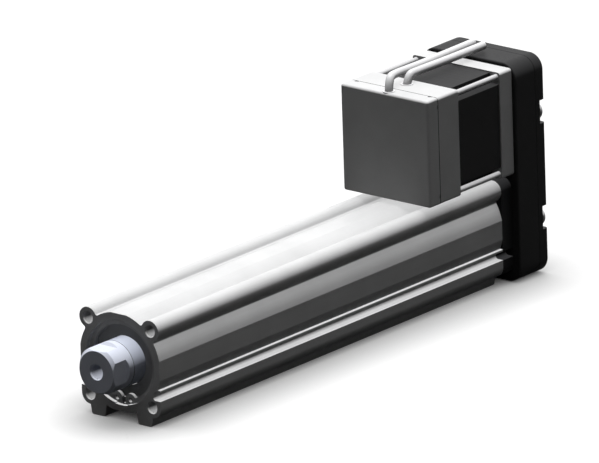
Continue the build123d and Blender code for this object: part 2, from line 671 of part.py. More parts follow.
def pulley(height, first_groove, bore_radius):
    """Toothed pulley with two flanges. Its grooves start at the angle of a belt tooth."""
    groove = tooth(TOOTH_ROOT + 2 * TOOTH_GAP, TOOTH_TIP + 2 * TOOTH_GAP, TOOTH_HEIGHT + TOOTH_GAP)
    step = 360 / PULLEY_TEETH
    grooves = [Rot(0, 0, first_groove + step * index) * Pos(0, BELT_INNER_RADIUS) * groove
               for index in range(PULLEY_TEETH)]
    toothed = Circle(PULLEY_RADIUS) - grooves
    front = BELT_FRONT + MOVING_GAP
    wheel = carried(Pos(0, height) * toothed, front, PULLEY_REAR + PULLEY_FLANGE)
    for edge in (front + PULLEY_FLANGE, PULLEY_REAR + PULLEY_FLANGE):
        wheel += disc(PULLEY_RADIUS + PULLEY_FLANGE_LIP, edge, edge - PULLEY_FLANGE, height)
    return wheel - disc(bore_radius, front + PULLEY_FLANGE, PULLEY_REAR, height)


def screw_pulley():
    """Pulley on the screw, in mesh with the belt at rest."""
    offset = (AXIS_DISTANCE / BELT_PITCH) % 1
    return pulley(0, 90 - 360 / PULLEY_TEETH * offset, SHAFT_RADIUS + SEAT_GAP)


def motor_pulley():
    """Pulley on the motor's shaft, in mesh with the belt at rest."""
    return pulley(AXIS_DISTANCE, 90, SHAFT_RADIUS + SEAT_GAP)


# Return box

def box_outline(inset=0.0):
    """Rounded outline of the return box about both axes."""
    half = BOX_HALF_WIDTH - inset
    outline = RectangleRounded(2 * half, AXIS_DISTANCE + 2 * half, BOX_CORNER_RADIUS - inset)
    return Pos(0, AXIS_DISTANCE / 2) * outline


def pocket_places():
    """Where the plate's screws stand: side and height."""
    return [(side * POCKET_SCREW_OFFSET, height) for side in (-1, 1) for height in (0, AXIS_DISTANCE)]


def return_box():
    """Housing round the belt, with bosses for the plate's screws."""
    box = carried(box_outline(), BLOCK_REAR, BOX_REAR)
    box = fillet(box.faces().sort_by(Axis.X)[-1].outer_wire().edges(), BOX_EDGE_FILLET)
    box = eased(box, -1)
    cavity = box_outline(BOX_WALL)
    for y, z in pocket_places():
        reach = BOX_HALF_WIDTH - POCKET_SCREW_OFFSET
        wall = Pos(y + math.copysign(reach / 2, y), z) * Rectangle(reach, 2 * BOSS_RADIUS)
        cavity -= Pos(y, z) * Circle(BOSS_RADIUS) + wall
    box -= carried(cavity, BOX_SEAT, BOX_REAR)
    box -= disc(RETAINER_BORE_RADIUS, BLOCK_REAR, BOX_SEAT)
    box -= disc(PILOT_RADIUS + SEAT_GAP, BLOCK_REAR, BOX_SEAT, AXIS_DISTANCE)
    for y, z in corners(HOLE_SPACING / 2):
        box -= disc(BOX_BOLT_RADIUS + BOLT_GAP, BLOCK_REAR, BOX_SEAT, z, y)
    for y, z in corners(CORNER_OFFSET, AXIS_DISTANCE):
        box -= disc(MOTOR_BOLT_RADIUS + BOLT_GAP, BLOCK_REAR, BOX_SEAT, z, y)
    for y, z in pocket_places():
        box -= disc(PLATE_SCREW_RADIUS, BOX_REAR + PLATE_SCREW_ENGAGEMENT + TAP_OVERRUN, BOX_REAR, z, y)
    return box


def return_plate():
    """Plate that closes the box, with four pockets open to its sides."""
    plate = carried(box_outline(), BOX_REAR, PLATE_REAR)
    plate = fillet(plate.faces().sort_by(Axis.X)[0].outer_wire().edges(), PLATE_EDGE_FILLET)
    plate = eased(plate, 1)
    floor = PLATE_REAR + POCKET_DEPTH
    for y, z in pocket_places():
        edge = math.copysign(BOX_HALF_WIDTH, y)
        pocket = Pos(edge, z) * Rectangle(2 * POCKET_REACH, POCKET_HEIGHT)
        plate -= carried(pocket, floor, PLATE_REAR)
        plate -= disc(PLATE_SCREW_RADIUS + BOLT_GAP, BOX_REAR, floor, z, y)
    return plate


def return_plate_screws():
    """Round-headed screws in the plate's pockets."""
    seat = PLATE_REAR + POCKET_DEPTH
    end = seat - PLATE_SCREW_HEAD
    rise = PLATE_SCREW_HEAD - PLATE_SCREW_RIM
    dome_radius = (PLATE_SCREW_HEAD_RADIUS**2 + rise**2) / (2 * rise)
    head = disc(PLATE_SCREW_HEAD_RADIUS, seat, end) & Pos(end + dome_radius, 0, 0) * Sphere(dome_radius)
    socket = RegularPolygon(PLATE_SCREW_SOCKET, 6, major_radius=False)
    head -= carried(socket, end + PLATE_SCREW_HEAD / 2, end)
    screw = head + disc(PLATE_SCREW_RADIUS - SEAT_GAP, BOX_REAR + PLATE_SCREW_ENGAGEMENT, seat)
    return Compound(children=[Pos(0, y, z) * screw for y, z in pocket_places()])


def box_bolts():
    """Bolts that hold the box and the bearing block to the tube."""
    return bolts(corners(HOLE_SPACING / 2), BOX_BOLT_RADIUS - SEAT_GAP, BOX_BOLT_HEAD_RADIUS, BOX_BOLT_HEAD,
                 BOX_SEAT, TUBE_REAR + BOX_BOLT_ENGAGEMENT, BOX_BOLT_SOCKET)


def motor_bolts():
    """Bolts that hold the motor to the box."""
    return bolts(corners(CORNER_OFFSET, AXIS_DISTANCE), MOTOR_BOLT_RADIUS - SEAT_GAP, MOTOR_BOLT_HEAD_RADIUS,
                 MOTOR_BOLT_HEAD, BOX_SEAT, GASKET_FRONT + MOTOR_BOLT_ENGAGEMENT, MOTOR_BOLT_SOCKET)


# Motor

def square(width):
    """Square outline about the motor's axis."""
    return Pos(0, AXIS_DISTANCE) * Rectangle(width, width)


def rounded_square():
    """Outline of the motor's flange and end block."""
    return Pos(0, AXIS_DISTANCE) * RectangleRounded(MOTOR_WIDTH, MOTOR_WIDTH, MOTOR_CORNER_FILLET)


def motor_gasket():
    """Thin gasket between the motor and the return box."""
    pilot = Pos(0, AXIS_DISTANCE) * Circle(PILOT_RADIUS + SEAT_GAP)
    outline = square(MOTOR_WIDTH - 2 * GASKET_INSET) - pilot
    for y, z in corners(CORNER_OFFSET, AXIS_DISTANCE):
        outline -= Pos(y, z) * Circle(MOTOR_BOLT_RADIUS + BOLT_GAP)
    return carried(outline, GASKET_FRONT, BLOCK_REAR)


def coil_cavity(front, rear):
    """Room for the ends of the windings."""
    return ring(COIL_OUTER_RADIUS + COIL_GAP, COIL_INNER_RADIUS - COIL_GAP, front, rear, AXIS_DISTANCE)


def motor_flange():
    """Rear flange with its pilot, bearing seat and tapped corners."""
    flange = carried(rounded_square(), FLANGE_FRONT, GASKET_FRONT)
    flange += disc(PILOT_RADIUS, GASKET_FRONT, GASKET_FRONT - PILOT_LENGTH, AXIS_DISTANCE)
    flange -= disc(MOTOR_BEARING_RADIUS, FLANGE_FRONT, FLANGE_FRONT - MOTOR_BEARING_WIDTH, AXIS_DISTANCE)
    flange -= disc(SHAFT_RADIUS + SHAFT_GAP, FLANGE_FRONT, GASKET_FRONT - PILOT_LENGTH, AXIS_DISTANCE)
    flange -= coil_cavity(FLANGE_FRONT, FLANGE_FRONT - COIL_HEIGHT - COIL_GAP)
    for y, z in corners(CORNER_OFFSET, AXIS_DISTANCE):
        tap = GASKET_FRONT + MOTOR_BOLT_ENGAGEMENT + TAP_OVERRUN
        flange -= disc(MOTOR_BOLT_RADIUS, tap, GASKET_FRONT, z, y)
    return flange


def motor_stack():
    """Laminated stator with notched corners and a bore for the rotor."""
    width = MOTOR_WIDTH - 2 * STACK_RECESS
    outline = square(width) - Pos(0, AXIS_DISTANCE) * Circle(STATOR_BORE_RADIUS)
    for y, z in corners(MOTOR_HALF, AXIS_DISTANCE):
        outline -= Pos(y, z) * Rectangle(2 * STACK_NOTCH, 2 * STACK_NOTCH)
    return carried(outline, STACK_FRONT, FLANGE_FRONT)


def motor_coils():
    """Ends of the windings at both ends of the stator."""
    ends = ((STACK_FRONT + COIL_HEIGHT, STACK_FRONT), (FLANGE_FRONT, FLANGE_FRONT - COIL_HEIGHT))
    return Compound(children=[ring(COIL_OUTER_RADIUS, COIL_INNER_RADIUS, front, rear, AXIS_DISTANCE)
                              for front, rear in ends])


def motor_end_block():
    """Front block of the motor, with its bearing seat and the rear lead's exit."""
    block = eased(carried(rounded_square(), END_BLOCK_FRONT, STACK_FRONT), 1)
    block -= disc(MOTOR_BEARING_RADIUS, STACK_FRONT + MOTOR_BEARING_WIDTH, STACK_FRONT, AXIS_DISTANCE)
    block -= disc(SHAFT_RADIUS + SHAFT_GAP, END_BLOCK_FRONT, STACK_FRONT, AXIS_DISTANCE)
    block -= coil_cavity(STACK_FRONT + COIL_HEIGHT + COIL_GAP, STACK_FRONT)
    for y, z in corners(CORNER_OFFSET, AXIS_DISTANCE):
        tap = END_BLOCK_FRONT - CORNER_SHANK_LENGTH - TAP_OVERRUN
        block -= disc(CORNER_SHANK_RADIUS + SEAT_GAP, END_BLOCK_FRONT, tap, z, y)
    for y, z in corners(TIE_OFFSET, AXIS_DISTANCE):
        block -= disc(TIE_RADIUS, STACK_FRONT + TIE_ENGAGEMENT, STACK_FRONT, z, y)
    return block - lead_hole(REAR_LEAD_ROUTE)


def motor_cover():
    """Front cap of the motor over the encoder, with corner pockets that break through its sides."""
    cap = carried(square(MOTOR_WIDTH), MOTOR_FRONT, END_BLOCK_FRONT)
    rear = cap.faces().sort_by(Axis.X)[0]
    edges = [edge for edge in cap.edges() if edge not in rear.edges()]
    cap = eased(fillet(edges, COVER_CAP_FILLET), -1)
    cap -= disc(CAP_CAVITY_RADIUS, MOTOR_FRONT - COVER_CAP_WALL, END_BLOCK_FRONT, AXIS_DISTANCE)
    for y, z in corners(CORNER_OFFSET, AXIS_DISTANCE):
        pocket = END_BLOCK_FRONT + CORNER_HEAD_HEIGHT + SEAT_GAP
        cap -= disc(CORNER_POCKET_RADIUS, pocket, END_BLOCK_FRONT, z, y)
    return cap - lead_hole(FRONT_LEAD_ROUTE)


def motor_tie_bolts():
    """Long studs in the stator's notches, from the end block to the flange."""
    return Compound(children=[disc(TIE_RADIUS - SEAT_GAP, STACK_FRONT + TIE_ENGAGEMENT, FLANGE_FRONT, z, y)
                              for y, z in corners(TIE_OFFSET, AXIS_DISTANCE)])


def motor_corner_screws():
    """Screws of the end block, whose heads lie in the cap's corner pockets."""
    made = []
    for y, z in corners(CORNER_OFFSET, AXIS_DISTANCE):
        screw = disc(CORNER_HEAD_RADIUS, END_BLOCK_FRONT + CORNER_HEAD_HEIGHT, END_BLOCK_FRONT, z, y)
        screw += disc(CORNER_SHANK_RADIUS, END_BLOCK_FRONT, END_BLOCK_FRONT - CORNER_SHANK_LENGTH, z, y)
        made.append(screw)
    return Compound(children=made)


def motor_shaft():
    """Shaft from the encoder to the pulley."""
    return disc(SHAFT_RADIUS, ENCODER_FRONT, SHAFT_REAR, AXIS_DISTANCE)


def motor_rotor():
    """Rotor core on the shaft."""
    front, rear = STACK_FRONT - ROTOR_END_GAP, FLANGE_FRONT + ROTOR_END_GAP
    return ring(ROTOR_RADIUS, SHAFT_RADIUS + SEAT_GAP, front, rear, AXIS_DISTANCE)


def motor_bearings():
    """Bearings of the motor's shaft, one in the end block and one in the flange."""
    fronts = [STACK_FRONT + MOTOR_BEARING_WIDTH, FLANGE_FRONT]
    return bearing_rings(MOTOR_BEARING_RADIUS, SHAFT_RADIUS, MOTOR_BEARING_WIDTH, fronts, AXIS_DISTANCE)


def encoder_disc():
    """Disc on the shaft's front end."""
    rear = ENCODER_FRONT - ENCODER_THICKNESS
    return ring(ENCODER_RADIUS, SHAFT_RADIUS + SEAT_GAP, ENCODER_FRONT, rear, AXIS_DISTANCE)


def encoder_board():
    """Board that reads the encoder's disc, on the end block's face."""
    front = END_BLOCK_FRONT + BOARD_THICKNESS
    return ring(BOARD_RADIUS, SHAFT_RADIUS + SHAFT_GAP, front, END_BLOCK_FRONT, AXIS_DISTANCE)


# Leads

def lead_hole(route):
    """Hole in the motor's top for a lead and its grommet."""
    x, y, bottom = route[0]
    depth = MOTOR_TOP - bottom
    hole = Cylinder(LEAD_RADIUS + GROMMET_WALL, depth, align=(Align.CENTER, Align.CENTER, Align.MIN))
    return Pos(x, y, bottom) * hole


def cable_grommets():
    """Grommets that the leads leave the motor through."""
    made = []
    for route in (FRONT_LEAD_ROUTE, REAR_LEAD_ROUTE):
        x, y, bottom = route[0]
        section = Circle(LEAD_RADIUS + GROMMET_WALL - SEAT_GAP) - Circle(LEAD_RADIUS + SEAT_GAP)
        made.append(Pos(x, y, bottom) * extrude(section, amount=MOTOR_TOP + GROMMET_STAND - bottom))
    return Compound(children=made)


def lead(name, route):
    """Round lead along straight runs joined by tangent arcs."""
    points = [Vector(*place) for place in route]
    radii = []
    for before, here, after in zip(points, points[1:], points[2:]):
        turn = (here - before).get_angle(after - here)
        shorter = min((here - before).length, (after - here).length)
        radii.append(BEND_SHARE * shorter / math.tan(math.radians(turn / 2)))
    path = FilletPolyline(*points, radius=radii)
    start = Plane(origin=points[0], z_dir=points[1] - points[0])
    made = sweep(start * Circle(LEAD_RADIUS), path=path)
    length = path.length
    print(name, "length", round(length, 1), "radii", [round(radius, 1) for radius in radii],
          "volume over section times length", round(made.volume / (math.pi * LEAD_RADIUS**2 * length), 4))
    return made


def main():
    """Builds every piece and writes each to its own file."""
    screw_cups, screw_cones = screw_bearings()
    motor_cups, motor_cones = motor_bearings()
    parts = {
        "tube_body": tube_body(),
        "retaining_ring": retaining_ring(),
        "rod_cover": rod_cover(),
        "cover_o_ring": cover_o_ring(),
        "rod_seal": rod_seal(),
        "rod_bushing": rod_bushing(),
        "front_bumper": front_bumper(),
        "piston_rod": piston_rod(),
        "rod_socket": rod_socket(),
        "piston": piston(),
        "wear_ring": wear_ring(),
        "piston_magnet": piston_magnet(),
        "rotation_keys": rotation_keys(),
        "ball_nut": ball_nut(),
        "ball_screw": ball_screw(),
        "screw_support": screw_support(),
        "screw_bearing_cups": screw_cups,
        "screw_bearing_cones": screw_cones,
        "bearing_block": bearing_block(),
        "bearing_retainer": bearing_retainer(),
        "screw_lock_nut": screw_lock_nut(),
        "rear_bumper": rear_bumper(),
        "timing_belt": timing_belt(),
        "screw_pulley": screw_pulley(),
        "motor_pulley": motor_pulley(),
        "return_box": return_box(),
        "return_plate": return_plate(),
        "return_plate_screws": return_plate_screws(),
        "box_bolts": box_bolts(),
        "motor_bolts": motor_bolts(),
        "motor_gasket": motor_gasket(),
        "motor_flange": motor_flange(),
        "motor_stack": motor_stack(),
        "motor_coils": motor_coils(),
        "motor_end_block": motor_end_block(),
        "motor_cover": motor_cover(),
        "motor_tie_bolts": motor_tie_bolts(),
        "motor_corner_screws": motor_corner_screws(),
        "motor_shaft": motor_shaft(),
        "motor_rotor": motor_rotor(),
        "motor_bearing_cups": motor_cups,
        "motor_bearing_cones": motor_cones,
        "encoder_disc": encoder_disc(),
        "encoder_board": encoder_board(),
        "cable_grommets": cable_grommets(),
        "cable_front": lead("cable_front", FRONT_LEAD_ROUTE),
        "cable_rear": lead("cable_rear", REAR_LEAD_ROUTE),
    }
    os.makedirs("parts", exist_ok=True)
    for name, shape in parts.items():
        export_step(shape, f"parts/{name}.step")


main()
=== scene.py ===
"""Looks of the electric rod actuator: finishes, leads, threads and studio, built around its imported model."""

import json
import logging
import math
from dataclasses import dataclass
from enum import Enum

import bpy
from mathutils import Matrix, Vector


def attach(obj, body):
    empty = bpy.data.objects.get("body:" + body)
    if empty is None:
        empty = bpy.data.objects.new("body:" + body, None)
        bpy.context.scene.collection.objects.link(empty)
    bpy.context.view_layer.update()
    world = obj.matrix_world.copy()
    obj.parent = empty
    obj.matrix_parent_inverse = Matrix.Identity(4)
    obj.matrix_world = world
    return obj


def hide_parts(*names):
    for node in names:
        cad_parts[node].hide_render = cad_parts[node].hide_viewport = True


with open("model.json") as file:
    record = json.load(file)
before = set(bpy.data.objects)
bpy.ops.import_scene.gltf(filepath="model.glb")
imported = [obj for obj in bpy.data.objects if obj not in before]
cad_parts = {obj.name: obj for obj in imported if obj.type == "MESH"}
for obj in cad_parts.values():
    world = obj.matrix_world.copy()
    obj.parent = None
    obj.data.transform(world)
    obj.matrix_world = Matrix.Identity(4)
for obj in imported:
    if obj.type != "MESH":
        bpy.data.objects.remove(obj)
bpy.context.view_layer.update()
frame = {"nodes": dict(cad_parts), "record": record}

LOG = logging.getLogger("actuator")
MM = 0.001
MOTOR_AXIS_HEIGHT = 56.25 * MM
SMOOTH_ANGLE = math.radians(35)
DOUBLES_APART = 0.001 * MM
# A noise texture keeps nearly all its values between these two.
NOISE_LOW, NOISE_HIGH = 0.33, 0.67
# Shares of the large patches and of the fine marks in the change of colour.
PATCH_SHARE, MARK_SHARE = 0.7, 0.3
# Layers of finer noise in the marks and in the patches.
MARK_DETAIL, PATCH_DETAIL = 3.0, 4.0
# Share by which a mark makes the surface rougher or smoother.
ROUGHNESS_WANDER = 0.12
# How far the lighter edge reaches from an edge. It is partly wear and partly a painted highlight.
EDGE_WEAR_AND_HIGHLIGHT_REACH = 0.35 * MM
# Agreement of the softened and the plain normal where the worn and highlighted edge starts and where it is
# full.
EDGE_WEAR_AND_HIGHLIGHT_START, EDGE_WEAR_AND_HIGHLIGHT_FULL = 0.995, 0.86
# Share of the worn and highlighted edge in the patches that have the least.
EDGE_WEAR_AND_HIGHLIGHT_LEAST = 0.35
Colour = tuple[float, float, float]
Point = tuple[float, float, float]


class Body(Enum):
    """Bodies of the actuator that new pieces ride on."""

    ACTUATOR = "actuator_body"
    ROD = "rod"


class Grain(Enum):
    """How a surface was made, which sets how its fine marks run.

    Each value scales the marks' pattern along X, Y and Z. Turned marks run in rings and don't use theirs.
    Cast and moulded surfaces have even marks. Their values differ by a hair, because an Enum takes equal
    values for one option.
    """

    DRAWN = (0.015, 1.0, 1.0)
    STACKED = (1.0, 0.02, 0.02)
    TURNED = (1.0, 1.0, 1.0)
    CAST = (1.0, 1.0, 0.999)
    MOULDED = (1.0, 0.999, 1.0)


class NodeBoard:
    """Node tree of one material or of the world, with short calls that add nodes and join them."""

    def __init__(self, tree: bpy.types.NodeTree) -> None:
        """Empties the tree.

        Args:
            tree: The node tree to fill.
        """
        self.tree = tree
        self.tree.nodes.clear()

    def add(self, kind: str, inputs: dict | None = None, **settings: object) -> bpy.types.Node:
        """Adds one node.

        Args:
            kind: Blender's name of the node's type.
            inputs: Values or sockets by input name.
            settings: Properties of the node.

        Returns:
            The new node.
        """
        node = self.tree.nodes.new(kind)
        for name, value in settings.items():
            setattr(node, name, value)
        for name, value in (inputs or {}).items():
            if isinstance(value, bpy.types.NodeSocket):
                self.tree.links.new(value, node.inputs[name])
            else:
                node.inputs[name].default_value = value
        return node

    def math(self, operation: str, *values: object) -> bpy.types.NodeSocket:
        """Adds one calculation.

        Args:
            operation: Blender's name of the operation.
            values: Numbers or sockets, in order.

        Returns:
            The socket that holds the result.
        """
        return self.add("ShaderNodeMath", dict(enumerate(values)), operation=operation).outputs[0]

    def spread(self, value: object, low: float, high: float) -> bpy.types.NodeSocket:
        """Carries a noise value from its usual span over to the span from low to high."""
        span = {"Value": value, "From Min": NOISE_LOW, "From Max": NOISE_HIGH, "To Min": low, "To Max": high}
        return self.add("ShaderNodeMapRange", span).outputs["Result"]

    def noise(self, place: object, size: float, detail: float) -> bpy.types.NodeSocket:
        """Adds a noise pattern.

        Args:
            place: Socket with the place that the pattern is read at.
            size: Length of one patch, in metres.
            detail: How many finer layers the pattern has.

        Returns:
            The pattern's value.
        """
        inputs = {"Vector": place, "Scale": 1 / size, "Detail": detail}
        return self.add("ShaderNodeTexNoise", inputs).outputs[0]


@dataclass(frozen=True)
class Finish:
    """One finish of the record's material slots.

    Attributes:
        slot: Name of the slot.
        colour: Linear colour.
        metallic: Share of bare metal in the surface.
        roughness: Middle of its roughness.
        grain: How its fine marks run.
        mark_size: Length of a mark across its run, in metres.
        mark_depth: Height of a mark, in metres.
        mottle: Share by which the colour changes from patch to patch.
        patch_size: Length of those patches, in metres.
        edge: Share by which edges are lighter, partly as wear and partly as a painted highlight.
        specular: Strength of the clear gloss.
        coat: Strength of a varnish or oil film.
        axis_height: Height of the axis that turned marks run round, in metres.
    """

    slot: str
    colour: Colour
    metallic: float
    roughness: float
    grain: Grain
    mark_size: float
    mark_depth: float
    mottle: float = 0.05
    patch_size: float = 0.02
    edge: float = 0.0
    specular: float = 0.4
    coat: float = 0.0
    axis_height: float = 0.0

    def _marks(self, board: NodeBoard, place: bpy.types.NodeSocket) -> bpy.types.NodeSocket:
        """Pattern of the fine marks.

        Args:
            board: The material's nodes.
            place: Socket with the place on the object.

        Returns:
            The pattern's value.
        """
        if self.grain is Grain.TURNED:
            parts = board.add("ShaderNodeSeparateXYZ", {"Vector": place}).outputs
            height = board.math("SUBTRACT", parts["Z"], self.axis_height)
            squares = (board.math("MULTIPLY", side, side) for side in (parts["Y"], height))
            radius = board.math("SQRT", board.math("ADD", *squares))
            run = board.add("ShaderNodeCombineXYZ", {"X": radius, "Y": parts["X"]}).outputs[0]
        else:
            run = board.add("ShaderNodeMapping", {"Vector": place, "Scale": self.grain.value}).outputs[0]
        return board.noise(run, self.mark_size, MARK_DETAIL)

    def _worn_and_highlit(self, board: NodeBoard, colour: bpy.types.NodeSocket, patches: bpy.types.NodeSocket,
              ) -> bpy.types.NodeSocket:
        """Lightens the colour near edges, as wear where an edge is handled and as a painted highlight along
        it.

        Args:
            board: The material's nodes.
            colour: Socket with the colour.
            patches: Socket with a value that changes from patch to patch.

        Returns:
            Socket with the colour, lighter at the edges by wear and by a painted highlight.
        """
        softened = board.add("ShaderNodeBevel", {"Radius": EDGE_WEAR_AND_HIGHLIGHT_REACH}, samples=4).outputs[0]
        plain = board.add("ShaderNodeNewGeometry").outputs["Normal"]
        normals = {0: softened, 1: plain}
        along = board.add("ShaderNodeVectorMath", normals, operation="DOT_PRODUCT").outputs["Value"]
        span = {"Value": along, "From Min": EDGE_WEAR_AND_HIGHLIGHT_START, "From Max": EDGE_WEAR_AND_HIGHLIGHT_FULL, "To Min": 0.0, "To Max": 1.0}
        near_edge = board.add("ShaderNodeMapRange", span).outputs["Result"]
        share = board.math("MULTIPLY", near_edge, board.spread(patches, EDGE_WEAR_AND_HIGHLIGHT_LEAST, 1.0))
        # Edge colour: lighter as wear and as a painted highlight.
        light = tuple(part + self.edge * (1 - part) for part in self.colour) + (1.0,)
        mixed = board.add("ShaderNodeMix", data_type="RGBA")
        for name, value in (("Factor", share), ("A", colour), ("B", light)):
            socket = next(s for s in mixed.inputs if s.name == name and s.enabled)
            if isinstance(value, bpy.types.NodeSocket):
                board.tree.links.new(value, socket)
            else:
                socket.default_value = value
        return next(s for s in mixed.outputs if s.enabled)

    def build(self) -> bpy.types.Material:
        """Makes the material.

        Returns:
            The material, named after its slot.
        """
        material = bpy.data.materials.new(self.slot)
        material.use_nodes = True
        board = NodeBoard(material.node_tree)
        place = board.add("ShaderNodeTexCoord").outputs["Object"]
        marks = self._marks(board, place)
        patches = board.noise(place, self.patch_size, PATCH_DETAIL)
        change = board.math("ADD", board.math("MULTIPLY", patches, PATCH_SHARE),
                            board.math("MULTIPLY", marks, MARK_SHARE))
        tint = board.spread(change, 1 - self.mottle, 1 + self.mottle)
        scaled = {0: self.colour, "Scale": tint}
        shade = board.add("ShaderNodeVectorMath", scaled, operation="SCALE").outputs[0]
        # Edges get lighter here, partly as wear and partly as a painted highlight.
        colour = self._worn_and_highlit(board, shade, patches) if self.edge else shade
        wander = ROUGHNESS_WANDER * self.roughness
        bump = {"Strength": 1.0, "Distance": self.mark_depth, "Height": marks}
        shader = board.add("ShaderNodeBsdfPrincipled", {
            "Base Color": colour,
            "Metallic": self.metallic,
            "Roughness": board.spread(marks, self.roughness - wander, self.roughness + wander),
            "Specular IOR Level": self.specular,
            "Coat Weight": self.coat,
            "Normal": board.add("ShaderNodeBump", bump).outputs[0],
        })
        board.add("ShaderNodeOutputMaterial", {"Surface": shader.outputs[0]})
        return material


# Slot, colour, metallic, roughness, grain, mark size and mark depth, then what departs from the usual.
FINISHES = (
    Finish("tube_aluminium", (0.74, 0.742, 0.745), 0.0, 0.36, Grain.DRAWN, 0.35 * MM, 0.010 * MM, edge=0.10,
           specular=0.18),
    Finish("cover_aluminium", (0.46, 0.46, 0.46), 0.0, 0.38, Grain.TURNED, 0.3 * MM, 0.006 * MM, edge=0.10,
           specular=0.15),
    Finish("block_aluminium", (0.040, 0.040, 0.042), 0.0, 0.42, Grain.CAST, 0.5 * MM, 0.012 * MM, edge=0.03,
           specular=0.05),
    Finish("rod_chrome", (0.80, 0.85, 0.99), 0.15, 0.16, Grain.TURNED, 0.2 * MM, 0.0015 * MM, mottle=0.02),
    Finish("socket_steel", (0.82, 0.86, 0.98), 0.0, 0.30, Grain.TURNED, 0.25 * MM, 0.003 * MM, mottle=0.03,
           edge=0.25, specular=0.25),
    Finish("ring_steel", (0.60, 0.60, 0.60), 0.10, 0.32, Grain.CAST, 0.3 * MM, 0.004 * MM, edge=0.3),
    Finish("screw_steel", (0.50, 0.50, 0.51), 0.90, 0.25, Grain.TURNED, 0.2 * MM, 0.005 * MM),
    Finish("bearing_steel", (0.62, 0.62, 0.63), 0.95, 0.18, Grain.TURNED, 0.2 * MM, 0.003 * MM),
    Finish("bolt_steel", (0.05, 0.05, 0.052), 0.60, 0.40, Grain.TURNED, 0.2 * MM, 0.006 * MM, edge=0.1),
    Finish("bright_steel", (0.74, 0.74, 0.75), 0.05, 0.22, Grain.CAST, 0.3 * MM, 0.002 * MM),
    Finish("bush_bronze", (0.48, 0.30, 0.12), 0.85, 0.32, Grain.TURNED, 0.25 * MM, 0.006 * MM),
    Finish("seal_rubber", (0.02, 0.02, 0.021), 0.0, 0.62, Grain.MOULDED, 0.3 * MM, 0.010 * MM, specular=0.08),
    Finish("bumper_urethane", (0.22, 0.12, 0.03), 0.0, 0.45, Grain.MOULDED, 0.5 * MM, 0.010 * MM),
    Finish("guide_nylon", (0.72, 0.70, 0.62), 0.0, 0.50, Grain.MOULDED, 0.4 * MM, 0.008 * MM),
    Finish("magnet_ferrite", (0.05, 0.05, 0.055), 0.2, 0.60, Grain.CAST, 0.4 * MM, 0.010 * MM),
    Finish("belt_rubber", (0.015, 0.015, 0.016), 0.0, 0.66, Grain.MOULDED, 0.4 * MM, 0.012 * MM,
           specular=0.3),
    Finish("pulley_aluminium", (0.60, 0.60, 0.61), 0.85, 0.30, Grain.TURNED, 0.25 * MM, 0.008 * MM),
    Finish("housing_black", (0.042, 0.042, 0.043), 0.0, 0.46, Grain.CAST, 0.6 * MM, 0.016 * MM, edge=0.03,
           specular=0.05),
    Finish("motor_silver", (0.74, 0.742, 0.745), 0.0, 0.38, Grain.CAST, 0.5 * MM, 0.010 * MM, edge=0.10,
           specular=0.15),
    Finish("stack_black", (0.048, 0.048, 0.049), 0.0, 0.50, Grain.STACKED, 0.5 * MM, 0.025 * MM,
           specular=0.05),
    Finish("rotor_steel", (0.30, 0.30, 0.31), 0.80, 0.40, Grain.STACKED, 0.5 * MM, 0.030 * MM),
    Finish("coil_copper", (0.55, 0.20, 0.06), 0.60, 0.35, Grain.TURNED, 0.6 * MM, 0.060 * MM, coat=0.5,
           axis_height=MOTOR_AXIS_HEIGHT),
    Finish("gasket_fibre", (0.015, 0.015, 0.016), 0.0, 0.75, Grain.MOULDED, 0.4 * MM, 0.012 * MM,
           specular=0.05),
    Finish("board_laminate", (0.02, 0.12, 0.05), 0.0, 0.35, Grain.MOULDED, 0.8 * MM, 0.006 * MM, coat=0.3),
    Finish("lead_sheath", (0.90, 0.90, 0.91), 0.0, 0.33, Grain.MOULDED, 0.5 * MM, 0.005 * MM, mottle=0.03,
           specular=0.25),
)

# The photograph shows no dark collar where the leads come out, so their entries look like the leads.
OTHER_FINISHES = {"cable_grommets": "lead_sheath"}


class Finishes:
    """The finishes as materials, by slot."""

    def __init__(self) -> None:
        """Makes every material once."""
        self.by_slot = {finish.slot: finish.build() for finish in FINISHES}

    def dress_cad(self) -> None:
        """Gives every CAD node the material of its slot."""
        for part in frame["record"]["subparts"]:
            node = frame["nodes"][part["node"]]
            slot = OTHER_FINISHES.get(part["node"], part["material_slot"])
            node.data.materials.clear()
            node.data.materials.append(self.by_slot[slot])
            LOG.info("%s has the finish %s", part["node"], slot)

    def place(self, piece: bpy.types.Object, slot: str, body: Body) -> bpy.types.Object:
        """Gives a new piece its material, its slot and its body.

        Args:
            piece: The finished piece.
            slot: Material slot.
            body: Body that it rides on.

        Returns:
            The piece.
        """
        piece.data.materials.clear()
        piece.data.materials.append(self.by_slot[slot])
        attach(piece, body.value)
        LOG.info("%s rides on %s with the finish %s", piece.name, body.value, slot)
        return piece


